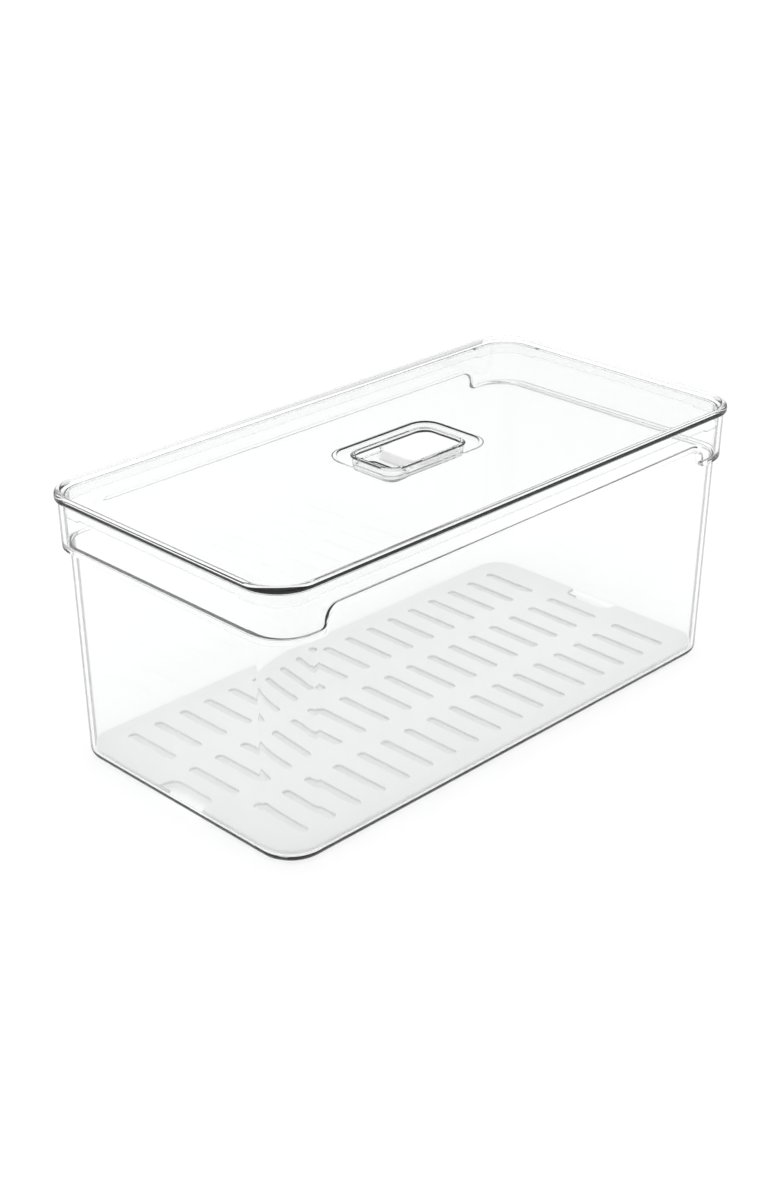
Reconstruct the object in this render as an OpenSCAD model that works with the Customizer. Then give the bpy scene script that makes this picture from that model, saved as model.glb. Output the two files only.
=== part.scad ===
// Clear fridge bin: a tub with a stepped collar, a lift-off lid with a sliding vent, and a drain tray.
// X runs along the length, Y across the width and Z up. The origin is the centre of the footprint, on
// the level that the foot ribs stand on. All sizes are in millimetres.

/* [Tub] */
// Outside length of the walls at the base
base_len = 305.2; // [250:0.1:370]
// Outside width of the walls at the base
base_wid = 153.7; // [130:0.1:190]
// Height of the rim that the lid rests on
tub_h = 136.8; // [110:0.1:165]
// Wall and floor thickness of the tub
wall = 2.2; // [1.6:0.1:2.8]
// Outward lean of each wall, in degrees
draft = 0.94; // [0:0.1:2]
// Corner radius of the walls
corner_r = 18; // [16:0.5:24]
// Rounding between the walls and the base
base_round = 3.8; // [3:0.1:5]

/* [Collar] */
// Step out of the collar at each end, which makes the grip ledge
end_step = 4.2; // [3:0.1:8]
// Step out of the collar along each long side
side_step = 1.1; // [1:0.1:2]
// Depth of the collar at the ends and round the corners
end_collar = 24.8; // [18:0.1:28]
// Depth of the collar along the long sides
side_collar = 14.5; // [8:0.5:16]
// Distance from each end of the tub to where the collar starts to turn shallow
s_margin = 19; // [12:0.5:40]
// Length of the S-shaped run between the two collar depths
s_run = 10.5; // [6:0.5:20]
// Corner radius of the collar
collar_r = 19; // [15:0.1:22]

/* [Foot ribs] */
// Height of the ribs that the bin stands on
foot_h = 1; // [0.8:0.1:2]
// Width of each rib
foot_w = 2.4; // [1.6:0.1:3]
// Inset of the ribs' outer side from the foot of the wall
foot_inset = 4.8; // [4.5:0.1:8]
// Gap in the middle of each pair of ribs
foot_gap = 24; // [10:1:40]
// Distance from each corner of the base to the nearest rib ends
foot_corner = 26; // [22:1:40]

/* [Lid] */
// Overhang of the lid past the collar, all round
lid_over = 1.5; // [0.5:0.1:3]
// Height of the lid's raised rim above its seat
rim_h = 3.4; // [3:0.1:6]
// Width of the raised rim
rim_w = 5.3; // [5:0.1:8]
// Rounding of the rim's outer top edge
rim_round = 2; // [1:0.1:2.5]
// Width of the flat crest on the rim
rim_crest = 0.8; // [0.5:0.1:1.5]
// Depth of the panel below the crest
panel_drop = 2.4; // [2:0.1:3]
// Thickness of the panel
panel_t = 2.2; // [1.6:0.1:3]
// Side clearance between the lid's locating rib and the collar
plug_gap = 0.4; // [0.3:0.1:0.8]
// Thickness of the locating rib
plug_t = 1.8; // [1.4:0.1:2.2]
// Depth of the locating rib below the seat
plug_h = 6; // [3:0.1:6]
// Depth of the corner tabs below the seat
tab_h = 7; // [6.5:0.5:9]
// Length of each corner tab along the straight sides
tab_run = 6; // [2:0.5:10]

/* [Vent] */
// Length of the recess in the lid
recess_len = 67; // [64:1:80]
// Width of the recess in the lid
recess_wid = 42; // [40:1:50]
// Depth of the recess
recess_drop = 1; // [0.6:0.1:1.4]
// Corner radius of the recess
recess_r = 9.5; // [9:0.5:12]
// Length of the vent cup below its flange
cup_len = 54.6; // [45:0.2:60]
// Width of the vent cup below its flange
cup_wid = 31; // [28:0.1:35]
// Corner radius of the vent cup
cup_r = 7.8; // [6:0.1:8]
// Wall and floor thickness of the vent cup
cup_wall = 1.2; // [0.8:0.1:1.4]
// Depth of the cup below the recess, under the slider
cup_depth = 7.4; // [6:0.1:9]
// Extra depth of the finger pocket
pocket_extra = 0.9; // [0.8:0.1:2.5]
// Length of the finger pocket inside the cup
pocket_len = 14; // [10:0.5:16]
// Reach of the cup's flange past its hole
flange_w = 1; // [1:0.1:2]
// Thickness of the cup's flange
flange_t = 0.7; // [0.5:0.1:1]
// Clearance round the cup in the lid's hole
cup_gap = 0.2; // [0.1:0.05:0.4]
// Travel of the slider, which sets its length: it fills what is left of the cup
slider_travel = 16; // [10:1:20]
// Clearance between the slider and the cup
slide_gap = 0.3; // [0.2:0.05:0.5]
// Width of each air slot in the cup's floor
air_slot_w = 3; // [2:0.5:3]
// Length of each air slot
air_slot_len = 20; // [12:1:24]

/* [Drain tray] */
// Clearance between the tray and the tub's walls
tray_gap = 1.2; // [0.8:0.1:3]
// Thickness of the tray's sheet
tray_t = 1.6; // [1.2:0.1:2.5]
// Height of the tray's feet
tray_foot_h = 1.4; // [1:0.1:6]
// Pitch of the slots along the tray
slot_pitch = 16.1; // [12:0.1:20]
// Width of each slot
slot_w = 5; // [3:0.5:7]
// Length of each slot
slot_len = 33; // [24:1:34]
// Width of the finger notch in each end
notch_wid = 30; // [20:1:36]
// Depth of the finger notches
notch_depth = 9; // [6:0.5:11]

/* [Hidden] */
$fn = 48;
over = 1;
clear_plastic = [0.90, 0.94, 0.95, 0.45];
white_plastic = [0.96, 0.96, 0.95];

lean = tan(draft);
floor_z = foot_h + wall;
end_ledge_z = tub_h - end_collar;
side_ledge_z = tub_h - side_collar;

collar_l = base_len / 2 + lean * tub_h + end_step;
collar_w = base_wid / 2 + lean * tub_h + side_step;
lid_l = collar_l + lid_over;
lid_w = collar_w + lid_over;
lid_r = collar_r + lid_over;

seat_gap = 0.02;
seat_z = tub_h + seat_gap;
crest_z = tub_h + rim_h;
panel_z = crest_z - panel_drop;
recess_z = panel_z - recess_drop;
plug_in = lid_over + wall + plug_gap;
tab_shy = 0.2;
tab_lap = 1;
tab_root_z = seat_z - plug_h + tab_lap;
recess_floor_t = 2.2;

cup_floor_z = recess_z - cup_depth + cup_wall;
cup_in_l = cup_len / 2 - cup_wall;
cup_in_w = cup_wid / 2 - cup_wall;
pocket_x = -cup_in_l + pocket_len;
clip_len = 8;
clip_reach = 0.7;
clip_top_z = recess_z - recess_floor_t - 0.1;
lip_reach = 1.4;
lip_t = 0.8;

slider_len = 2 * cup_in_l - 4 * slide_gap - slider_travel;
slider_x = cup_in_l - 2 * slide_gap - slider_len;
slider_z = cup_floor_z + slide_gap / 2;
slider_sink = 1.6;
slider_top_z = recess_z + flange_t - slider_sink;
slider_flange_t = 1;
slider_half_w = cup_in_w - lip_reach - slide_gap;
slider_flange_half_w = cup_in_w - slide_gap;
lip_z = slider_z + slider_flange_t + slide_gap;
thumb_drop = 0.5;
air_slot_gap = 2;
air_slot_count = floor(slider_travel / (air_slot_w + air_slot_gap));

tray_z = floor_z + tray_foot_h;
tray_l = base_len / 2 + lean * tray_z - wall - tray_gap;
tray_w = base_wid / 2 + lean * tray_z - wall - tray_gap;
tray_r = corner_r - wall - tray_gap;
tray_peg_r = 3;
slot_columns = 3;
column_pitch = (2 * tray_w - slot_len - 2 * 11.3) / (slot_columns - 1);
slot_count = 2 * floor((tray_l - notch_depth - 8 - slot_w / 2) / slot_pitch) + 1;

// The S-shaped run of the collar's lower edge, from [0, 0] to [1, 1]: a tight bend up, then a wide one.
s_bend = 0.35;
s_tight = [for (a = [0:15:90]) [s_bend * sin(a), s_bend * (1 - cos(a))]];
s_wide = [for (a = [15:15:90]) [1 - (1 - s_bend) * cos(a), s_bend + (1 - s_bend) * sin(a)]];
s_curve = concat(s_tight, s_wide);

// Half length and half width of the tub's wall at a height.
function wall_l(z) = base_len / 2 + lean * z;
function wall_w(z) = base_wid / 2 + lean * z;

// Rectangle with rounded corners, given by its half sizes.
module rounded_rect(hl, hw, r) {
    square([2 * (hl - r), 2 * hw], center = true);
    square([2 * hl, 2 * (hw - r)], center = true);
    for (sx = [-1, 1])
        for (sy = [-1, 1])
            translate([sx * (hl - r), sy * (hw - r)])
                circle(r);
}

// Straight bar with round ends, centred, running along Y.
module round_bar(length, width) {
    square([width, length - width], center = true);
    for (s = [-1, 1])
        translate([0, s * (length - width) / 2])
            circle(width / 2);
}

module slab(hl, hw, r, z, t) {
    translate([0, 0, z])
        linear_extrude(t)
            rounded_rect(hl, hw, r);
}

// Sweeps a section round a rounded rectangle. The section's x is the distance in from the edge,
// its y the height.
module sweep_round(hl, hw, r) {
    for (k = [0:3]) {
        side = k % 2 == 0 ? hl : hw;
        run = k % 2 == 0 ? hw - r : hl - r;
        translate([(k == 0 || k == 3 ? 1 : -1) * (hl - r), (k < 2 ? 1 : -1) * (hw - r), 0])
            rotate(90 * k)
                rotate_extrude(angle = 90)
                    translate([r, 0])
                        mirror([1, 0])
                            children();
        rotate(90 * k)
            translate([side, 0, 0])
                rotate([90, 0, 180])
                    linear_extrude(2 * run, center = true)
                        children();
    }
}

// A solid block with leaning sides, swept from its section, with its middle filled from z0 up to top.
module leaning_block(hl, hw, r, z0, top) {
    core_l = hl - r + over;
    core_w = hw - r + over;
    sweep_round(hl, hw, r)
        children();
    translate([-core_l, -core_w, z0])
        cube([2 * core_l, 2 * core_w, top - z0]);
}

// The tub's tapering body with a rounded foot, set in from the outside by inset.
module tub_taper(inset, z0, edge_r, top) {
    foot = [for (a = [0:15:90])
        [inset + edge_r * (1 - sin(a)) - lean * (z0 + edge_r * (1 - cos(a))), z0 + edge_r * (1 - cos(a))]];
    leaning_block(base_len / 2, base_wid / 2, corner_r, z0, top)
        polygon(concat([[corner_r, z0]], foot, [[inset - lean * top, top], [corner_r, top]]));
}

// Everything above the collar's lower edge: low round the ends, high along the sides, with an S between.
module above_ledge(lift) {
    s_out = wall_l(end_ledge_z) - s_margin;
    far = base_len;
    rise = end_collar - side_collar;
    right = [for (p = s_curve) [s_out - s_run * p[0], end_ledge_z + lift + rise * p[1]]];
    left = [for (i = [len(right) - 1:-1:0]) [-right[i][0], right[i][1]]];
    outline = concat([[far, end_ledge_z + lift]], right, left,
        [[-far, end_ledge_z + lift], [-far, 2 * tub_h], [far, 2 * tub_h]]);
    rotate([90, 0, 0])
        linear_extrude(2 * base_wid, center = true)
            polygon(outline);
}

// The collar's block, which steps out past the walls, set in from the outside by inset.
module collar_block(inset, lift, top) {
    z0 = end_ledge_z - over;
    intersection() {
        leaning_block(collar_l, collar_w, collar_r, z0, top)
            polygon([[collar_r, z0], [inset + lean * (tub_h - z0), z0], [inset + lean * (tub_h - top), top],
                [collar_r, top]]);
        above_ledge(lift);
    }
}

module foot_ribs() {
    rib_z = foot_h + wall / 2;
    row_y = base_wid / 2 - foot_inset - foot_w / 2;
    row_x = base_len / 2 - foot_inset - foot_w / 2;
    long_rib = (base_len - 2 * foot_corner - foot_gap) / 2;
    short_rib = (base_wid - 2 * foot_corner - foot_gap) / 2;
    for (sx = [-1, 1])
        for (sy = [-1, 1]) {
            translate([sx * (foot_gap + long_rib) / 2, sy * row_y, 0])
                rotate(90)
                    linear_extrude(rib_z)
                        round_bar(long_rib, foot_w);
            translate([sx * row_x, sy * (foot_gap + short_rib) / 2, 0])
                linear_extrude(rib_z)
                    round_bar(short_rib, foot_w);
        }
}

module bin_tub() {
    color(clear_plastic) {
        difference() {
            union() {
                tub_taper(0, foot_h, base_round, tub_h);
                collar_block(0, 0, tub_h);
            }
            tub_taper(wall, floor_z, base_round - wall, tub_h + over);
            collar_block(wall, wall, tub_h + over);
        }
        foot_ribs();
    }
}

// Section of the lid: rounded rim with a narrow flat crest, a slope down to the panel, and the locating rib.
module lid_section() {
    arc = [for (a = [0:15:90]) [rim_round * (1 - cos(a)), crest_z - rim_round * (1 - sin(a))]];
    under_z = panel_z - panel_t;
    polygon(concat([[0, seat_z]], arc,
        [[rim_round + rim_crest, crest_z], [rim_w, panel_z], [lid_r, panel_z], [lid_r, under_z],
        [plug_in + plug_t, under_z], [plug_in + plug_t, seat_z - plug_h],
        [plug_in, seat_z - plug_h], [plug_in, seat_z]]));
}

// One straight end of a corner tab, with a slanted foot.
module tab_end(run) {
    foot_z = seat_z - tab_h;
    polygon([[0, tab_root_z], [0, foot_z], [run, foot_z], [run + tab_root_z - foot_z, tab_root_z]]);
}

module corner_tabs() {
    tab_in = plug_in + tab_shy;
    tab_t = plug_t - 2 * tab_shy;
    for (sx = [0, 1])
        for (sy = [0, 1])
            mirror([sx, 0, 0])
                mirror([0, sy, 0])
                    translate([lid_l - lid_r, lid_w - lid_r, 0]) {
                        rotate_extrude(angle = 90)
                            translate([lid_r - tab_in - tab_t, seat_z - tab_h])
                                square([tab_t, tab_root_z - seat_z + tab_h]);
                        translate([0, lid_r - tab_in, 0])
                            mirror([1, 0, 0])
                                rotate([90, 0, 0])
                                    linear_extrude(tab_t)
                                        tab_end(tab_run);
                        translate([lid_r - tab_in - tab_t, 0, 0])
                            mirror([0, 1, 0])
                                rotate([90, 0, 90])
                                    linear_extrude(tab_t)
                                        tab_end(tab_run);
                    }
}

module lid() {
    pad_w = 2;
    color(clear_plastic) {
        difference() {
            union() {
                leaning_block(lid_l, lid_w, lid_r, panel_z - panel_t, panel_z)
                    lid_section();
                slab(recess_len / 2 + pad_w, recess_wid / 2 + pad_w, recess_r + pad_w,
                    recess_z - recess_floor_t, recess_floor_t);
            }
            slab(recess_len / 2, recess_wid / 2, recess_r, recess_z, recess_drop + over);
            slab(cup_len / 2 + cup_gap, cup_wid / 2 + cup_gap, cup_r + cup_gap,
                recess_z - recess_floor_t - over, recess_floor_t + 2 * over);
        }
        corner_tabs();
    }
}

// Wedges halfway along the cup that snap under the lid.
module cup_clips() {
    root = cup_wid / 2 - cup_wall / 2;
    tip = cup_wid / 2 + cup_gap + clip_reach;
    for (s = [0, 1])
        mirror([0, s, 0])
            translate([-clip_len / 2, 0, 0])
                rotate([90, 0, 90])
                    linear_extrude(clip_len)
                        polygon([[root, clip_top_z - 2.2], [tip, clip_top_z - 0.3],
                            [tip, clip_top_z], [root, clip_top_z]]);
}

// Small lips on the cup's long walls that keep the slider down.
module cup_lips() {
    lip_len = 2 * (cup_in_l - cup_r);
    for (s = [-1, 1])
        translate([0, s * (cup_in_w - lip_reach / 2 + cup_wall / 4), lip_z + lip_t / 2])
            cube([lip_len, lip_reach + cup_wall / 2, lip_t], center = true);
}

module air_slots() {
    last_x = cup_in_l - 4.2;
    for (i = [0:air_slot_count - 1])
        translate([last_x - i * (air_slot_w + air_slot_gap), 0, cup_floor_z - cup_wall - over])
            linear_extrude(cup_wall + 2 * over)
                round_bar(air_slot_len, air_slot_w);
}

module vent_cup() {
    top_z = recess_z + flange_t;
    cup_z = recess_z - cup_depth;
    color(clear_plastic) {
        difference() {
            union() {
                slab(cup_len / 2 + flange_w, cup_wid / 2 + flange_w, cup_r + flange_w, recess_z, flange_t);
                slab(cup_len / 2, cup_wid / 2, cup_r, cup_z, cup_depth + flange_t);
                intersection() {
                    slab(cup_len / 2, cup_wid / 2, cup_r, cup_z - pocket_extra, pocket_extra + over);
                    translate([-cup_len, -cup_wid, 0])
                        cube([cup_len + pocket_x + cup_wall, 2 * cup_wid, top_z]);
                }
            }
            slab(cup_in_l, cup_in_w, cup_r - cup_wall, cup_floor_z, cup_depth + over);
            intersection() {
                slab(cup_in_l, cup_in_w, cup_r - cup_wall, cup_floor_z - pocket_extra, pocket_extra + over);
                translate([-cup_len, -cup_wid, 0])
                    cube([cup_len + pocket_x, 2 * cup_wid, top_z]);
            }
            air_slots();
        }
        cup_clips();
        cup_lips();
    }
}

module vent_slider() {
    mid_x = slider_x + slider_len / 2;
    body_r = 5.5;
    face_x = -slider_len / 2;
    face_run = 1.5;
    face_z = slider_z + slider_flange_t;
    color(white_plastic)
        translate([mid_x, 0, 0])
            difference() {
                union() {
                    slab(slider_len / 2, slider_half_w, body_r, slider_z, slider_top_z - slider_z);
                    slab(slider_len / 2, slider_flange_half_w, body_r, slider_z, slider_flange_t);
                }
                slab(slider_len / 2 - 6, slider_half_w - 4, body_r - 2, slider_top_z - thumb_drop, over);
                rotate([90, 0, 0])
                    linear_extrude(2 * slider_half_w + over, center = true)
                        polygon([[face_x - over, face_z], [face_x, face_z], [face_x + face_run, slider_top_z],
                            [face_x + face_run, slider_top_z + over], [face_x - over, slider_top_z + over]]);
            }
}

module tray_slots() {
    for (i = [0:slot_count - 1])
        for (j = [0:slot_columns - 1])
            translate([(i - (slot_count - 1) / 2) * slot_pitch, (j - (slot_columns - 1) / 2) * column_pitch])
                round_bar(slot_len, slot_w);
}

module tray_pegs() {
    edge = 10.5;
    between = column_pitch / 2;
    spots = [[tray_l - edge, tray_w - edge - 4], [slot_pitch * 6, between], [0, between]];
    for (p = spots)
        for (sx = [-1, 1])
            for (sy = [-1, 1])
                translate([sx * p[0], sy * p[1], floor_z])
                    cylinder(h = tray_foot_h + tray_t / 2, r = tray_peg_r);
}

module drain_tray() {
    notch_r = 6;
    color(white_plastic) {
        translate([0, 0, tray_z])
            linear_extrude(tray_t)
                difference() {
                    rounded_rect(tray_l, tray_w, tray_r);
                    tray_slots();
                    for (s = [-1, 1])
                        translate([s * tray_l, 0])
                            rounded_rect(notch_depth, notch_wid / 2, notch_r);
                }
        tray_pegs();
    }
}

bin_tub();
lid();
vent_cup();
vent_slider();
drain_tray();
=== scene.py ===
import math
import bpy
import bmesh
from mathutils import Matrix, Vector


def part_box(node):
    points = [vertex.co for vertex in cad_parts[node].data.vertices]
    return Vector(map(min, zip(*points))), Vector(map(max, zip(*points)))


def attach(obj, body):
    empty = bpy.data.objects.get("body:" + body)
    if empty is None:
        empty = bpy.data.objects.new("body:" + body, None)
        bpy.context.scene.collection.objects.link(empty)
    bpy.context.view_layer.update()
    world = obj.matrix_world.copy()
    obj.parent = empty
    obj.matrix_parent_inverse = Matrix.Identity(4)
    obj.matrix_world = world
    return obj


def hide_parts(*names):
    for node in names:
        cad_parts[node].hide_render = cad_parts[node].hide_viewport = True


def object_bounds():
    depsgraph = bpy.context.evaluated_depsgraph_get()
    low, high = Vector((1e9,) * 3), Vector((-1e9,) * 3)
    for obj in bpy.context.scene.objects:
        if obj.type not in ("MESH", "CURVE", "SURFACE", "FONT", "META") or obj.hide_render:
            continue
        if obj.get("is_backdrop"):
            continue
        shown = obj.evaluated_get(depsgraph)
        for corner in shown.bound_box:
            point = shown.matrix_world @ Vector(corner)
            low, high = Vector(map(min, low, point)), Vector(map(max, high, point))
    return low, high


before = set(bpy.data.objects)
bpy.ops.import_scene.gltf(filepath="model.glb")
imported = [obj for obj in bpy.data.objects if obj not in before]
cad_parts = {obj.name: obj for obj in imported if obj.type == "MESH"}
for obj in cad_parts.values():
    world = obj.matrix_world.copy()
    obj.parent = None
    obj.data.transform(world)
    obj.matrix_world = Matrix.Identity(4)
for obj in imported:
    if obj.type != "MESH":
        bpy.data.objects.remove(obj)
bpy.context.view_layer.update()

MM = 0.001

# Sizes of the design, in millimetres. Pairs with _L and _W are half lengths and half widths; _Z, RIM_Z,
# CREST, PANEL and the LEDGE values are heights.
BASE_L, BASE_W, DRAFT, WALL = 152.6, 76.85, math.tan(math.radians(0.94)), 2.2
WALL_R, BASE_ROUND, FOOT = 18.0, 3.8, 1.0
RIM_Z, END_STEP, SIDE_STEP, COLLAR_R = 136.8, 4.2, 1.1, 19.0
END_LEDGE, SIDE_LEDGE = 112.0, 122.3
S_OUT, S_RUN, S_BEND = 135.44, 10.5, 0.35
FLOOR_Z = FOOT + WALL
COLLAR_L = BASE_L + DRAFT * RIM_Z + END_STEP
COLLAR_W = BASE_W + DRAFT * RIM_Z + SIDE_STEP
LID_OVER = 1.5
LID_L, LID_W, LID_R = COLLAR_L + LID_OVER, COLLAR_W + LID_OVER, COLLAR_R + LID_OVER
CREST, PANEL, PANEL_T, RIM_W = 140.2, 137.8, 2.2, 5.3
PLUG_IN, PLUG_T, PLUG_Z, TAB_Z = 4.1, 1.8, 130.8, 129.8
SEAT_GAP = 0.02
SEAT = RIM_Z + SEAT_GAP

# Recess, hole and cup: half length, half width and corner radius. The flange: its reach and thickness.
RECESS, RECESS_Z, RECESS_T = (33.5, 21.0, 9.5), 136.8, 2.2
HOLE = (27.5, 15.7, 8.0)
CUP, CUP_WALL, CUP_FLANGE, CUP_Z = (27.3, 15.5, 7.8), 1.2, (1.0, 0.7), 129.4
POCKET, POCKET_X = 0.9, -12.1
AIR_SLOT_W, AIR_SLOT_L, AIR_SLOT_PITCH, AIR_SLOT_EDGE, AIR_SLOTS = 3.0, 20.0, 5, 4.2, 3

# Tray: SLOT_EDGE is from its long edge to the end of a slot; NOTCH_MOUTH rounds the outer corners of a
# finger notch and NOTCH_R the inner ones; PEG_EDGE is from the tray's edges to the middle of a corner peg.
TRAY_R, TRAY_FEET = 14.6, 1.4
SLOT_PITCH, SLOT_W, SLOT_L, SLOT_EDGE, SLOTS_A_SIDE = 16.1, 5.0, 33.0, 11.3, 8
NOTCH_HALF, NOTCH_R, NOTCH_MOUTH, NOTCH_DEPTH = 15.0, 6.0, 1.6, 9.0
PEG_R, PEG_EDGE = 3.0, (10.5, 14.5)

SLIDER_R, SLIDER_FLANGE, SLIDER_STEP, SLIDER_RAMP, SLIDER_DISH = 5.5, 1.0, 1.4, 1.5, 0.45

# Points in each quarter turn of an outline.
CORNER_N = 14

CLEAR_IOR, WHITE_IOR = 1.49, 1.45
# Start, end and darkness of the painted shade on clear plastic at a glancing angle, which stands in for the
# dark edges that clear plastic shows by refraction, and how much sooner it starts on upright corners.
PAINTED_EDGE_SHADE = (0.80, 0.96, 0.15, 0.6)

# Place on the ramp and brightness, for the two sides of the view and for the change from one to the other.
LEFT_LIGHT = ((0.5, 0.5), (0.72, 0.82), (0.82, 1.0))
RIGHT_LIGHT = ((0.5, 0.12), (0.72, 0.75), (0.84, 1.0))
LEFT_TO_RIGHT = ((0.45, 0.0), (0.75, 1.0))
LIGHT = 1.25

VIEW_AZIMUTH, VIEW_ELEVATION = math.radians(-45.283), math.radians(25.99)
LENS, SENSOR = 59.15, 36
# Camera from the middle of the bin: right, up and back, in lengths of the bin.
VIEW_FROM = (-0.0275, -0.0383, 3.0474)


# ---------------------------------------------------------------- mesh helpers

def ease(t):
    """The S-shaped run from 0 to 1: a tight bend up from level, then a wide one back to level."""
    t = min(max(t, 0.0), 1.0)
    if t < S_BEND:
        return S_BEND * (1 - math.sqrt(1 - (t / S_BEND) ** 2))
    wide = 1 - S_BEND
    return S_BEND + wide * math.sqrt(1 - ((1 - t) / wide) ** 2)


def s_steps():
    """Places along the S-shaped run, closest together where it is steepest."""
    turns = [math.radians(10 * k) for k in range(10)]
    tight = [S_BEND * math.sin(a) for a in turns]
    return tight + [1 - (1 - S_BEND) * math.cos(a) for a in turns[1:]]


def outline(hl, hw, r, along, across):
    """Rounded rectangle, anticlockwise from the +X side.

    along, across: shares of the long and the short straight sides to place points at.
    """
    pts = []
    corners = ((1, 1, 0, along), (-1, 1, 90, across), (-1, -1, 180, along), (1, -1, 270, across))
    for k, (sx, sy, start, shares) in enumerate(corners):
        cx, cy = sx * (hl - r), sy * (hw - r)
        for i in range(CORNER_N + 1):
            a = math.radians(start + 90 * i / CORNER_N)
            pts.append((cx + r * math.cos(a), cy + r * math.sin(a)))
        nx, ny = corners[(k + 1) % 4][:2]
        a = math.radians(start + 90)
        x0, y0 = pts[-1]
        x1, y1 = nx * (hl - r) + r * math.cos(a), ny * (hw - r) + r * math.sin(a)
        for f in shares:
            pts.append((x0 + (x1 - x0) * f, y0 + (y1 - y0) * f))
    return pts


def rounded_path(points, n=6):
    """Polyline through (x, y, radius) points with an arc at each inner point that has a radius."""
    out = [Vector(points[0][:2])]
    for i in range(1, len(points) - 1):
        p, q, s = Vector(points[i - 1][:2]), Vector(points[i][:2]), Vector(points[i + 1][:2])
        r = points[i][2]
        a, b = (p - q).normalized(), (s - q).normalized()
        half = a.angle(b) / 2
        if r <= 0 or abs(half - math.pi / 2) < 1e-4:
            out.append(q)
            continue
        reach = r / math.tan(half)
        centre = q + (a + b).normalized() * (r / math.sin(half))
        t0, t1 = q + a * reach - centre, q + b * reach - centre
        turn = math.atan2(t0.x * t1.y - t0.y * t1.x, t0.dot(t1))
        for k in range(n + 1):
            w = turn * k / n
            out.append(centre + Vector((t0.x * math.cos(w) - t0.y * math.sin(w),
                                        t0.x * math.sin(w) + t0.y * math.cos(w))))
    out.append(Vector(points[-1][:2]))
    return [(v.x, v.y) for v in out]


class Skin:
    """Collects rings of points and the faces between them."""

    def __init__(self):
        self.v, self.f = [], []

    def ring(self, pts):
        start = len(self.v)
        self.v += [tuple(p) for p in pts]
        return list(range(start, len(self.v)))

    def bridge(self, a, b):
        n = len(a)
        for i in range(n):
            j = (i + 1) % n
            self.f.append((a[i], a[j], b[j], b[i]))

    def loft(self, rings, close=False):
        ids = [self.ring(r) for r in rings]
        for a, b in zip(ids, ids[1:]):
            self.bridge(a, b)
        if close:
            self.bridge(ids[-1], ids[0])
        return ids

    def cap(self, ids, flip=False):
        self.f.append(tuple(reversed(ids)) if flip else tuple(ids))

    def fill(self, loops):
        """Flat face with holes: the first loop is the outside."""
        bm = bmesh.new()
        back = {}
        for ids in loops:
            vs = []
            for i in ids:
                w = bm.verts.new(self.v[i])
                back[w] = i
                vs.append(w)
            for k in range(len(vs)):
                bm.edges.new((vs[k], vs[(k + 1) % len(vs)]))
        bmesh.ops.triangle_fill(bm, use_beauty=True, use_dissolve=False, edges=bm.edges[:])
        for face in bm.faces:
            self.f.append(tuple(back[w] for w in face.verts))
        bm.free()

    def build(self, name, material, body, node, clear):
        me = bpy.data.meshes.new(name)
        me.from_pydata([(x * MM, y * MM, z * MM) for x, y, z in self.v], [], self.f)
        bm = bmesh.new()
        bm.from_mesh(me)
        bmesh.ops.remove_doubles(bm, verts=bm.verts[:], dist=1e-6)
        bmesh.ops.recalc_face_normals(bm, faces=bm.faces[:])
        bm.to_mesh(me)
        bm.free()
        normals = [Vector((0, 0, 0)) for _ in me.vertices]
        for p in me.polygons:
            p.use_smooth = True
            for i in p.vertices:
                normals[i] += p.normal * p.area
        me.normals_split_custom_set_from_vertices([n.normalized() for n in normals])
        me.materials.append(material)
        ob = bpy.data.objects.new(name, me)
        bpy.context.scene.collection.objects.link(ob)
        # The tray is only seen through clear plastic, so it too casts no shadow and tints nothing.
        ob.visible_shadow = not (clear or name == "tray_body")
        ob.visible_diffuse = name != "tray_body"
        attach(ob, body)
        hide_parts(node)
        return ob


# ---------------------------------------------------------------- materials

def new_material(name):
    m = bpy.data.materials.new(name)
    m.use_nodes = True
    return m, m.node_tree, m.node_tree.nodes["Principled BSDF"]


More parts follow.
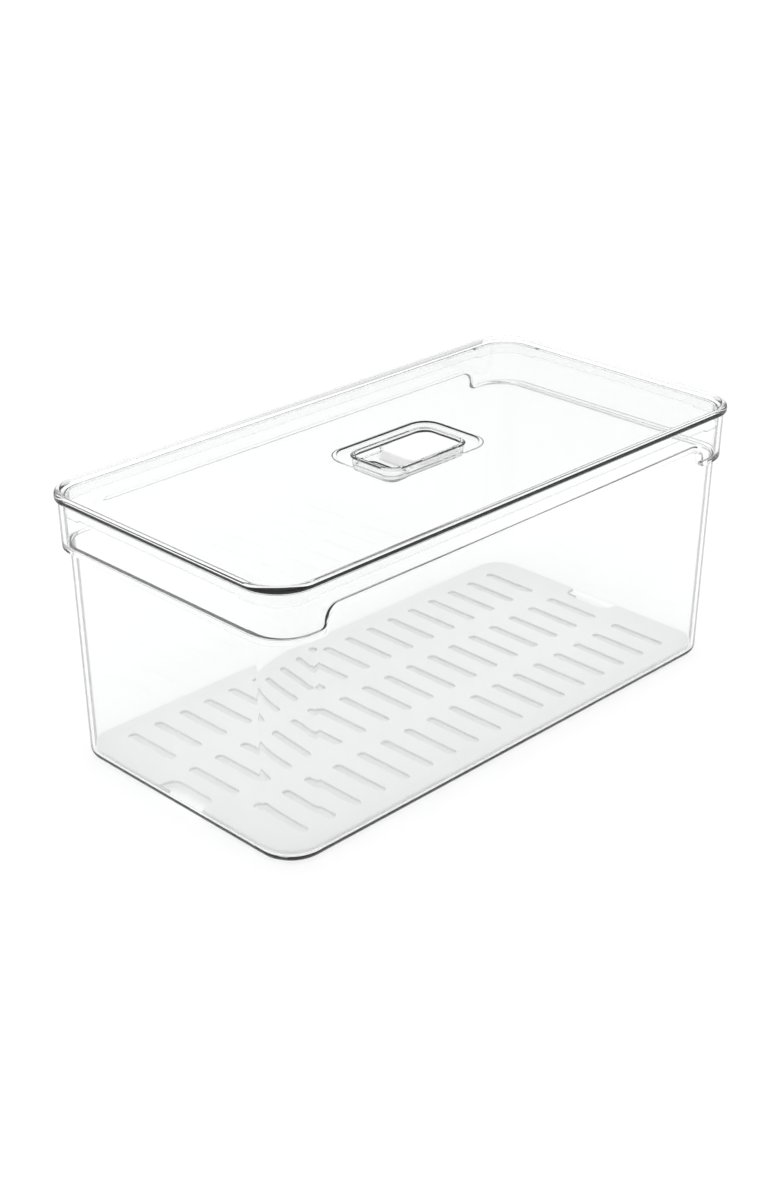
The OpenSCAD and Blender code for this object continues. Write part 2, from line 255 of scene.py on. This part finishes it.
def add_detail(nt, shader, scale, low, high, bump, distance, edge=None):
    """Slight mottling of the colour, and a faint unevenness of the surface.

    edge: four values as in the painted edge shade constant: where painted shade at a glancing angle starts
    and ends, its darkness, and how much sooner it starts on upright corners. Upright corners, where the
    plastic is looked through lengthways, are found by a normal that has both an X and a Y part.
    """
    tex = nt.nodes.new("ShaderNodeTexCoord")
    cloud = nt.nodes.new("ShaderNodeTexNoise")
    cloud.inputs["Scale"].default_value = scale
    cloud.inputs["Detail"].default_value = 3
    tint = nt.nodes.new("ShaderNodeMix")
    tint.data_type = "RGBA"
    tint.inputs[6].default_value = (*low, 1)
    tint.inputs[7].default_value = (*high, 1)
    grain = nt.nodes.new("ShaderNodeTexNoise")
    grain.inputs["Scale"].default_value = scale * 6
    grain.inputs["Detail"].default_value = 2
    uneven = nt.nodes.new("ShaderNodeBump")
    uneven.inputs["Strength"].default_value = bump
    uneven.inputs["Distance"].default_value = distance
    link = nt.links.new
    link(tex.outputs["Object"], cloud.inputs["Vector"])
    link(tex.outputs["Object"], grain.inputs["Vector"])
    link(cloud.outputs["Fac"], tint.inputs[0])
    colour = tint.outputs[2]
    # Painted shade: the colour darkens at a glancing angle, and sooner on upright corners, standing in for
    # the dark refracted edges of clear plastic.
    if edge:
        facing = nt.nodes.new("ShaderNodeLayerWeight")
        facing.inputs["Blend"].default_value = 0.5
        curve = nt.nodes.new("ShaderNodeMapRange")
        curve.interpolation_type = "SMOOTHSTEP"
        curve.inputs[1].default_value = edge[0]
        curve.inputs[2].default_value = edge[1]
        rim = nt.nodes.new("ShaderNodeMix")
        rim.data_type = "RGBA"
        rim.inputs[7].default_value = (edge[2], edge[2], edge[2], 1)
        split = nt.nodes.new("ShaderNodeSeparateXYZ")
        corner = nt.nodes.new("ShaderNodeMath")
        corner.operation = "MULTIPLY"
        size = nt.nodes.new("ShaderNodeMath")
        size.operation = "ABSOLUTE"
        sooner = nt.nodes.new("ShaderNodeMath")
        sooner.operation = "MULTIPLY_ADD"
        sooner.inputs[1].default_value = edge[3]
        link(tex.outputs["Normal"], split.inputs[0])
        link(split.outputs["X"], corner.inputs[0])
        link(split.outputs["Y"], corner.inputs[1])
        link(corner.outputs[0], size.inputs[0])
        link(size.outputs[0], sooner.inputs[0])
        link(facing.outputs["Facing"], sooner.inputs[2])
        link(sooner.outputs[0], curve.inputs[0])
        link(curve.outputs[0], rim.inputs[0])
        link(tint.outputs[2], rim.inputs[6])
        colour = rim.outputs[2]
    link(colour, shader.inputs["Base Color"])
    link(grain.outputs["Fac"], uneven.inputs["Height"])
    link(uneven.outputs["Normal"], shader.inputs["Normal"])


def clear_plastic(name, low, high):
    m, nt, p = new_material(name)
    p.inputs["Transmission Weight"].default_value = 1.0
    p.inputs["IOR"].default_value = CLEAR_IOR
    p.inputs["Roughness"].default_value = 0.0
    add_detail(nt, p, 9.0, low, high, 0.02, 0.0004, PAINTED_EDGE_SHADE)
    return m


def white_plastic(name, low, high, roughness, grain):
    m, nt, p = new_material(name)
    p.inputs["Roughness"].default_value = roughness
    p.inputs["IOR"].default_value = WHITE_IOR
    add_detail(nt, p, 14.0, low, high, grain, 0.0003)
    return m


tub_mat = clear_plastic("tub_clear", (0.970, 0.976, 0.976), (0.983, 0.987, 0.987))
lid_mat = clear_plastic("lid_clear", (0.962, 0.967, 0.968), (0.974, 0.978, 0.978))
cup_mat = clear_plastic("vent_clear", (0.972, 0.978, 0.979), (0.984, 0.988, 0.988))
slider_mat = white_plastic("slider_white", (0.90, 0.90, 0.90), (0.94, 0.94, 0.94), 0.35, 0.05)
tray_mat = white_plastic("tray_white", (0.73, 0.73, 0.73), (0.76, 0.76, 0.76), 0.5, 0.10)


# ---------------------------------------------------------------- tub

def tub_shares():
    """Points along a long side, close together in the two S-shaped runs."""
    half = COLLAR_L - COLLAR_R
    fine = [half - 1.5, S_OUT + 2.0, S_OUT + 0.6]
    fine += [S_OUT - S_RUN * t for t in s_steps()] + [S_OUT - S_RUN - 0.6]
    xs = fine + [112, 90, 60, 30, 0, -30, -60, -90, -112] + [-x for x in reversed(fine)]
    return [(1 - x / half) / 2 for x in xs]


LONG = tub_shares()
SHORT = [0.1 * i for i in range(1, 10)]


def wall_outline(z, inset):
    return outline(BASE_L + DRAFT * z - inset, BASE_W + DRAFT * z - inset, WALL_R - inset, LONG, SHORT)


def collar_outline(z, inset):
    low = DRAFT * (RIM_Z - z) + inset
    return outline(COLLAR_L - low, COLLAR_W - low, COLLAR_R - inset, LONG, SHORT)


def ledge_heights():
    """Height of the ledge's outer edge at each point round the tub: low at the ends, high along the sides."""
    rise = SIDE_LEDGE - END_LEDGE
    out = []
    for x, _ in collar_outline(RIM_Z, 0):
        along_side = abs(x) < COLLAR_L - COLLAR_R
        out.append(END_LEDGE + rise * ease((S_OUT - abs(x)) / S_RUN) if along_side else END_LEDGE)
    return out


LEDGE = ledge_heights()


def level(pts, z):
    return [(x, y, z) for x, y in pts]


def by_height(make, heights, inset):
    """Outline points at a height of their own for each point; the outline leans in a straight line."""
    a, b = make(0, inset), make(100, inset)
    return [(p[0] + (q[0] - p[0]) * z / 100, p[1] + (q[1] - p[1]) * z / 100, z)
            for p, q, z in zip(a, b, heights)]


def step_rings(inset, lift, low_r, high_r, n=6):
    """Rings across the ledge, from the wall out to the collar, with a rounded root and edge."""
    mid = [z + lift for z in LEDGE]
    wall_pts = by_height(wall_outline, mid, inset)
    coll_pts = by_height(collar_outline, mid, inset)
    rings = []
    for part in (0, 1):
        for k in range(n + 1):
            a = math.pi / 2 * k / n
            ring = []
            for p, q, z in zip(wall_pts, coll_pts, mid):
                d = Vector((q[0] - p[0], q[1] - p[1]))
                s = d.length
                r = min((low_r, high_r)[part], 0.46 * s)
                if part == 0:
                    out, up = r * (1 - math.cos(a)), -r + r * math.sin(a)
                else:
                    out, up = s - r + r * math.sin(a), r - r * math.cos(a)
                t = out / s
                ring.append((p[0] + d.x * t, p[1] + d.y * t, z + up))
            rings.append(ring)
    return rings


def between(a, b, shares):
    return [[tuple(p[k] + (q[k] - p[k]) * t for k in range(3)) for p, q in zip(a, b)] for t in shares]


def foot_bars():
    inset, width, gap, corner = 4.8, 2.4, 24.0, 26.0
    row_y, row_x = BASE_W - inset - width / 2, BASE_L - inset - width / 2
    long_bar, short_bar = (2 * BASE_L - 2 * corner - gap) / 2, (2 * BASE_W - 2 * corner - gap) / 2
    bars = []
    for sx in (-1, 1):
        for sy in (-1, 1):
            bars.append((sx * (gap + long_bar) / 2, sy * row_y, long_bar / 2, width / 2))
            bars.append((sx * row_x, sy * (gap + short_bar) / 2, width / 2, short_bar / 2))
    return bars


def bar_loop(cx, cy, hx, hy, grow, z, n=8):
    """Bar with round ends; grow widens it all round."""
    r = min(hx, hy) + grow
    ex, ey = hx + grow - r, hy + grow - r
    pts = []
    for k, (sx, sy) in enumerate(((1, 1), (-1, 1), (-1, -1), (1, -1))):
        for i in range(n + 1):
            a = math.radians(90 * k + 90 * i / n)
            pts.append((cx + sx * ex + r * math.cos(a), cy + sy * ey + r * math.sin(a), z))
    out = []
    for p in pts:
        if not out or (Vector(p) - Vector(out[-1])).length > 1e-6:
            out.append(p)
    if (Vector(out[0]) - Vector(out[-1])).length < 1e-6:
        out.pop()
    return out


def make_tub():
    s = Skin()
    arcs = [math.radians(15 * k) for k in range(7)]
    outer = [level(wall_outline(FOOT, BASE_ROUND + 1.0), FOOT)]
    for a in arcs:
        z = FOOT + BASE_ROUND * (1 - math.cos(a))
        outer.append(level(wall_outline(z, BASE_ROUND * (1 - math.sin(a))), z))
    steps = step_rings(0, 0, 1.3, 0.9)
    outer += between(outer[-1], steps[0], (0.02, 0.25, 0.5, 0.75, 0.985)) + steps
    lip = 0.7
    top = level(collar_outline(RIM_Z - lip, 0), RIM_Z - lip)
    outer += between(steps[-1], top, (0.04, 0.5, 0.96)) + [top]
    for k in range(1, 7):
        a = math.pi / 2 * k / 6
        z = RIM_Z - lip + lip * math.sin(a)
        outer.append(level(collar_outline(z, lip * (1 - math.cos(a))), z))
    inner = []
    for k in range(0, 7):
        a = math.pi / 2 * (1 - k / 6)
        z = RIM_Z - lip + lip * math.sin(a)
        inner.append(level(collar_outline(z, WALL - lip * (1 - math.cos(a))), z))
    isteps = list(reversed(step_rings(WALL, WALL, 0.9, 1.3)))
    inner += between(inner[-1], isteps[0], (0.04, 0.5, 0.96)) + isteps
    round_in = 2.6
    foot = []
    for a in reversed(arcs):
        z = FLOOR_Z + round_in * (1 - math.cos(a))
        foot.append(level(wall_outline(z, WALL + round_in * (1 - math.sin(a))), z))
    inner += between(isteps[-1], foot[0], (0.015, 0.25, 0.5, 0.75, 0.98)) + foot
    inner.append(level(wall_outline(FLOOR_Z, WALL + round_in + 1.0), FLOOR_Z))
    ids = s.loft(outer + inner)
    s.cap(ids[-1])
    holes = []
    for cx, cy, hx, hy in foot_bars():
        soft = 0.5
        loops = [bar_loop(cx, cy, hx, hy, 0.25, FOOT), bar_loop(cx, cy, hx, hy, 0.06, FOOT - 0.06),
                 bar_loop(cx, cy, hx, hy, 0, FOOT - 0.25)]
        for k in range(0, 5):
            a = math.pi / 2 * k / 4
            loops.append(bar_loop(cx, cy, hx, hy, -soft * (1 - math.cos(a)), soft * (1 - math.sin(a))))
        lids = s.loft(loops)
        s.cap(lids[-1], True)
        holes.append(lids[0])
    s.fill([ids[0]] + holes)
    return s.build("tub_body", tub_mat, "tub", "bin_tub", True)


# ---------------------------------------------------------------- lid

def lid_profile(plug_z):
    return rounded_path([
        (RIM_W + 4, PANEL, 0), (RIM_W, PANEL, 1.2), (2.7, CREST, 0.9), (0, CREST, 1.9), (0, SEAT, 0.3),
        (PLUG_IN, SEAT, 0.25), (PLUG_IN, plug_z, 0.25), (PLUG_IN + PLUG_T, plug_z, 0.25),
        (PLUG_IN + PLUG_T, PANEL - PANEL_T, 0.6), (RIM_W + 4, PANEL - PANEL_T, 0)])


def make_lid():
    s = Skin()
    run = 6.0
    fine = [0.0, 0.4, 0.8, 1.2, 2.0]
    half_l, half_w = LID_L - LID_R, LID_W - LID_R
    tabs_l = [(run + d) / (2 * half_l) for d in fine]
    tabs_w = [(run + d) / (2 * half_w) for d in fine]
    middle_l = [0.1, 0.2, 0.3, 0.4, 0.5, 0.6, 0.7, 0.8, 0.9]
    middle_w = [0.2, 0.35, 0.5, 0.65, 0.8]
    along = [0.01] + tabs_l + middle_l + [1 - t for t in reversed(tabs_l)] + [0.99]
    across = [0.02] + tabs_w + middle_w + [1 - t for t in reversed(tabs_w)] + [0.98]

    def depth_share():
        """1 where a corner tab is at its full depth, 0 past its slanted foot."""
        out = []
        for x, y in outline(LID_L, LID_W, LID_R, along, across):
            past = max(half_l - abs(x), 0) if abs(y) >= half_w else max(half_w - abs(y), 0)
            out.append(min(max(1 - (past - run) / (PLUG_Z - TAB_Z), 0), 1))
        return out

    share = depth_share()
    shallow, deep = lid_profile(PLUG_Z), lid_profile(TAB_Z)
    rings = []
    for (d, z0), (_, z1) in zip(shallow, deep):
        pts = outline(LID_L - d, LID_W - d, max(LID_R - d, 2.0), along, across)
        rings.append([(x, y, z0 + (z1 - z0) * w) for (x, y), w in zip(pts, share)])

    def patch(size, grow, z):
        return level(outline(size[0] + grow, size[1] + grow, size[2] + grow, along, across), z)

    recess = [patch(RECESS, 1.2, PANEL)]
    recess += [patch(RECESS, d, z) for d, z in rounded_path(
        [(0.8, PANEL, 0), (0, PANEL, 0.35), (0, RECESS_Z, 0.35), (-0.8, RECESS_Z, 0)], 4)]
    recess += [patch(RECESS, -1.2, RECESS_Z)]
    under_z = RECESS_Z - RECESS_T
    hole = [patch(HOLE, 0.8, RECESS_Z)]
    hole += [patch(HOLE, d, z) for d, z in rounded_path(
        [(0.5, RECESS_Z, 0), (0, RECESS_Z, 0.2), (0, under_z, 0.2), (0.5, under_z, 0)], 3)]
    hole += [patch(HOLE, 0.8, under_z)]
    pad = [patch(RECESS, d, z) for d, z in rounded_path(
        [(1.0, under_z, 0), (2, under_z, 0.4), (2, PANEL - PANEL_T, 0.4), (3.2, PANEL - PANEL_T, 0)], 4)]
    s.loft(list(reversed(hole)) + list(reversed(recess)) + rings + list(reversed(pad)), True)
    return s.build("lid_body", lid_mat, "lid", "lid", True)


# ---------------------------------------------------------------- vent slider

def make_slider():
    lo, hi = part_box("vent_slider")
    lo, hi = lo / MM, hi / MM
    hl, flange_w = (hi.x - lo.x) / 2, (hi.y - lo.y) / 2
    cx = (hi.x + lo.x) / 2
    flange_t, step = SLIDER_FLANGE, SLIDER_STEP
    height = hi.z - lo.z
    share = [0.02, 0.1, 0.3, 0.5, 0.7, 0.9, 0.98]
    s = Skin()

    def ring(in_x, in_y, z):
        up = max(z - flange_t, 0) / (height - flange_t)
        pts = outline(hl - in_x, flange_w - in_y, max(SLIDER_R - in_x, 1.0), share, share)
        return [(cx + x + (SLIDER_RAMP * up if x < 0 else 0), y, lo.z + z) for x, y in pts]

    rings = [ring(0.9, 0.9, 0), ring(0.3, 0.3, 0), ring(0.09, 0.09, 0.09), ring(0, 0, 0.3),
             ring(0, 0, flange_t - 0.3), ring(0, 0.09, flange_t - 0.09), ring(0, 0.3, flange_t),
             ring(0, step - 0.2, flange_t), ring(0, step, flange_t + 0.2)]
    soft = 0.7
    rings += [ring(0, step, flange_t + 0.6), ring(0, step, height - soft - 0.3)]
    for k in range(7):
        a = math.pi / 2 * k / 6
        d = soft * (1 - math.cos(a))
        rings.append(ring(d, step + d, height - soft + soft * math.sin(a)))
    for d, z in ((1.4, 0), (3.6, 0), (4.4, 0.05), (5.6, 0.5), (6.8, 0.92), (7.6, 1)):
        rings.append(ring(d, step + d * 0.8, height - SLIDER_DISH * z))
    ids = s.loft(rings)
    s.cap(ids[-1])
    s.cap(ids[0], True)
    return s.build("slider_body", slider_mat, "slider", "vent_slider", False)


# ---------------------------------------------------------------- drain tray

def offset_loop(pts, d):
    """Moves a closed flat loop inwards by d (anticlockwise loops)."""
    out = []
    n = len(pts)
    for i in range(n):
        p, q, w = Vector(pts[i - 1]), Vector(pts[i]), Vector(pts[(i + 1) % n])
        a, b = (q - p).normalized(), (w - q).normalized()
        m = Vector((-(a.y + b.y), a.x + b.x)).normalized()
        out.append(tuple(q + m * (d / max(m.dot(Vector((-a.y, a.x))), 0.5))))
    return out


def make_tray():
    lo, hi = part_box("drain_tray")
    lo, hi = lo / MM, hi / MM
    hl, hw = (hi.x - lo.x) / 2, (hi.y - lo.y) / 2
    r, notch, nr, mouth = TRAY_R, NOTCH_HALF, NOTCH_R, NOTCH_MOUTH
    z0, z1 = lo.z + TRAY_FEET, hi.z
    row = (2 * hw - SLOT_L - 2 * SLOT_EDGE) / 2
    soft = 0.55
    s = Skin()
    base = []

    def arc(cx, cy, rad, a0, a1, n):
        for i in range(n + 1):
            a = math.radians(a0 + (a1 - a0) * i / n)
            base.append((cx + rad * math.cos(a), cy + rad * math.sin(a)))

    arc(hl - NOTCH_DEPTH + nr, notch - nr, nr, 180, 90, 10)
    arc(hl - mouth, notch + mouth, mouth, 270, 360, 6)
    arc(hl - r, hw - r, r, 0, 90, 14)
    arc(-(hl - r), hw - r, r, 90, 180, 14)
    arc(-(hl - mouth), notch + mouth, mouth, 180, 270, 6)
    arc(-(hl - NOTCH_DEPTH + nr), notch - nr, nr, 90, 0, 10)
    base += [(-x, -y) for x, y in base]

    def rim(d, z):
        return level(offset_loop(base, d), z)

    section = rounded_path([(1.2, z1, 0), (0, z1, soft), (0, z0, 0.3), (1.2, z0, 0)], 5)
    ids = s.loft([rim(d, z) for d, z in section])
    tops, lows = [ids[0]], [ids[-1]]
    path = rounded_path([(0.9, z1, 0), (0, z1, soft), (0, z0, 0.3), (0.9, z0, 0)], 5)
    for i in range(-SLOTS_A_SIDE, SLOTS_A_SIDE + 1):
        for j in (-1, 0, 1):
            hid = s.loft([bar_loop(i * SLOT_PITCH, j * row, SLOT_W / 2, SLOT_L / 2, d, z) for d, z in path])
            tops.append(hid[0])
            lows.append(hid[-1])
    s.fill(tops)
    s.fill(lows)
    turns = [2 * math.pi * k / 24 for k in range(24)]
    peg = ((PEG_R - 0.5, lo.z), (PEG_R - 0.15, lo.z + 0.15), (PEG_R, lo.z + 0.5), (PEG_R, z0 + 0.5))
    for px, py in ((hl - PEG_EDGE[0], hw - PEG_EDGE[1]), (SLOT_PITCH * 6, row / 2), (0, row / 2)):
        for sx in ((-1, 1) if px else (1,)):
            for sy in (-1, 1):
                pid = s.loft([[(sx * px + q * math.cos(a), sy * py + q * math.sin(a), z) for a in turns]
                              for q, z in peg])
                s.cap(pid[0], True)
                s.cap(pid[-1])
    return s.build("tray_body", tray_mat, "tray", "drain_tray", False)


# ---------------------------------------------------------------- vent cup

def make_cup():
    hl, hw, r = CUP
    half = hl - r
    lip_end, clip_end, lip_reach, clip_reach = 18.3, 4.0, 1.4, 0.9
    xs = [half - 0.3, lip_end, lip_end - 0.2, 14, 9, clip_end, clip_end - 0.12, 1.3]
    along = [(1 - x / half) / 2 for x in xs + [-x for x in reversed(xs)]]
    across = [0.02, 0.25, 0.5, 0.75, 0.98]
    under = CUP_Z + CUP_WALL
    top = RECESS_Z + CUP_FLANGE[1]
    clip_z = RECESS_Z - RECESS_T - 0.1
    lip_z = under + 1.45
    s = Skin()

    def ring(grow, z, reach=0.0, end=0.0):
        pts = []
        for x, y in outline(hl + grow, hw + grow, r + grow, along, across):
            push = reach if abs(y) > hw + grow - 0.01 and abs(x) <= end - 0.1 else 0
            pts.append((x, y + math.copysign(push, y), z))
        return pts

    rings = [ring(d, z) for d, z in rounded_path([(-1.6, CUP_Z, 0), (0, CUP_Z, 0.7), (0, CUP_Z + 2, 0)], 5)]
    rings += [ring(0, z, reach, clip_end) for z, reach in (
        (clip_z - 2.2, 0), (clip_z - 0.35, clip_reach - 0.05), (clip_z - 0.25, clip_reach),
        (clip_z - 0.05, clip_reach), (clip_z, clip_reach - 0.05), (clip_z, 0.05), (clip_z + 0.03, 0))]
    rings += [ring(d, z) for d, z in rounded_path([
        (0, clip_z + 0.5, 0), (0, RECESS_Z + 0.02, 0.1), (CUP_FLANGE[0], RECESS_Z + 0.02, 0.05),
        (CUP_FLANGE[0] - 0.6, top, 0.4), (-CUP_WALL, top, 0.12), (-CUP_WALL, top - 1.5, 0)], 5)]
    rings += [ring(-CUP_WALL, z, -reach, lip_end) for z, reach in (
        (lip_z + 0.85, 0), (lip_z + 0.8, 0.05), (lip_z + 0.8, lip_reach - 0.15), (lip_z + 0.65, lip_reach),
        (lip_z + 0.15, lip_reach), (lip_z, lip_reach - 0.15), (lip_z, 0.05), (lip_z - 0.05, 0))]
    rings += [ring(-CUP_WALL - d, z) for d, z in rounded_path(
        [(0, lip_z - 0.5, 0), (0, under, 0.5), (1.2, under, 0)], 4)]
    ids = s.loft(rings)
    low, high = [ids[0]], [ids[-1]]

    def well(grow, z_out, z_in):
        """Finger pocket in the cup's floor: its upper face, or with grow its underside."""
        inset, corner = 0.7, 4.5
        x0, x1 = -(hl - CUP_WALL - inset) - grow, POCKET_X + grow
        y = hw - CUP_WALL - inset + grow
        share = [0.05, 0.35, 0.65, 0.95]
        loops = []
        for d, z in rounded_path([(0.25, z_out, 0), (0, z_out, 0.2), (0, z_in, 0.3), (-0.5, z_in, 0)], 4):
            pts = outline((x1 - x0) / 2 + d, y + d, corner + grow + d, share, share)
            loops.append([(x + (x0 + x1) / 2, q, z) for x, q in pts])
        wid = s.loft(loops)
        s.cap(wid[-1])
        return wid[0]

    low.append(well(0.7, CUP_Z, CUP_Z - POCKET))
    high.append(well(0, under, under - POCKET))
    path = rounded_path([(0.3, under, 0), (0, under, 0.2), (0, CUP_Z, 0.2), (0.3, CUP_Z, 0)], 3)
    for k in range(AIR_SLOTS):
        x = hl - CUP_WALL - AIR_SLOT_EDGE - AIR_SLOT_PITCH * k
        hid = s.loft([bar_loop(x, 0, AIR_SLOT_W / 2, AIR_SLOT_L / 2, d, z) for d, z in path])
        high.append(hid[0])
        low.append(hid[-1])
    s.fill(low)
    s.fill(high)
    return s.build("cup_body", cup_mat, "lid", "vent_cup", True)


make_tub()
make_lid()
make_slider()
make_tray()
make_cup()


# ---------------------------------------------------------------- setting

def make_floor():
    me = bpy.data.meshes.new("floor")
    half, cells = 12.0, 8
    step = 2 * half / cells
    verts = [(-half + step * i, -half + step * j, 0) for j in range(cells + 1) for i in range(cells + 1)]
    row = cells + 1
    faces = [(j * row + i, j * row + i + 1, (j + 1) * row + i + 1, (j + 1) * row + i)
             for j in range(cells) for i in range(cells)]
    me.from_pydata(verts, [], faces)
    ob = bpy.data.objects.new("floor", me)
    bpy.context.scene.collection.objects.link(ob)
    me.materials.append(white_plastic("floor_white", (0.94, 0.94, 0.94), (0.96, 0.96, 0.96), 0.8, 0.0))
    ob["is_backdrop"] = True


def make_world(azimuth):
    """Soft white studio: bright overhead and darker towards the horizon, most of all on the view's right."""
    world = bpy.data.worlds.new("studio")
    bpy.context.scene.world = world
    world.use_nodes = True
    nt = world.node_tree
    new, link = nt.nodes.new, nt.links.new
    back = nt.nodes["Background"]
    tex = new("ShaderNodeTexCoord")
    split = new("ShaderNodeSeparateXYZ")
    link(tex.outputs["Generated"], split.inputs[0])
    side = new("ShaderNodeVectorMath")
    side.operation = "DOT_PRODUCT"
    side.inputs[1].default_value = (math.cos(azimuth), math.sin(azimuth), 0)
    link(tex.outputs["Generated"], side.inputs[0])

    def ramp(source, stops):
        scale = new("ShaderNodeMapRange")
        scale.inputs[1].default_value = -1
        scale.inputs[2].default_value = 1
        link(source, scale.inputs[0])
        node = new("ShaderNodeValToRGB")
        link(scale.outputs[0], node.inputs[0])
        e = node.color_ramp.elements
        for k, (pos, v) in enumerate(stops):
            el = e[k] if k < 2 else e.new(pos)
            el.position = pos
            el.color = (v, v, v, 1)
        return node.outputs[0]

    lift_left = ramp(split.outputs["Z"], LEFT_LIGHT)
    lift_right = ramp(split.outputs["Z"], RIGHT_LIGHT)
    where = ramp(side.outputs["Value"], LEFT_TO_RIGHT)
    mix = new("ShaderNodeMix")
    mix.data_type = "RGBA"
    link(where, mix.inputs[0])
    link(lift_left, mix.inputs[6])
    link(lift_right, mix.inputs[7])
    link(mix.outputs[2], back.inputs[0])
    back.inputs[1].default_value = LIGHT


def make_camera(azimuth, elevation):
    lo, hi = (Vector(c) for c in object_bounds())
    centre = (lo + hi) / 2
    length = hi.x - lo.x
    back = Vector((math.sin(azimuth) * math.cos(elevation), -math.cos(azimuth) * math.cos(elevation),
                   math.sin(elevation)))
    right = Vector((math.cos(azimuth), math.sin(azimuth), 0))
    up = back.cross(right)
    data = bpy.data.cameras.new("view")
    data.lens = LENS
    data.sensor_width = SENSOR
    cam = bpy.data.objects.new("view", data)
    bpy.context.scene.collection.objects.link(cam)
    place = Matrix((right, up, back)).transposed().to_4x4()
    x, y, z = VIEW_FROM
    place.translation = centre + (right * x + up * y + back * z) * length
    cam.matrix_world = place
    bpy.context.scene.camera = cam


make_floor()
make_world(VIEW_AZIMUTH)
make_camera(VIEW_AZIMUTH, VIEW_ELEVATION)
scene = bpy.context.scene
scene.view_settings.view_transform = "Standard"
scene.cycles.transmission_bounces = 24
scene.cycles.max_bounces = 32
scene.cycles.transparent_max_bounces = 16
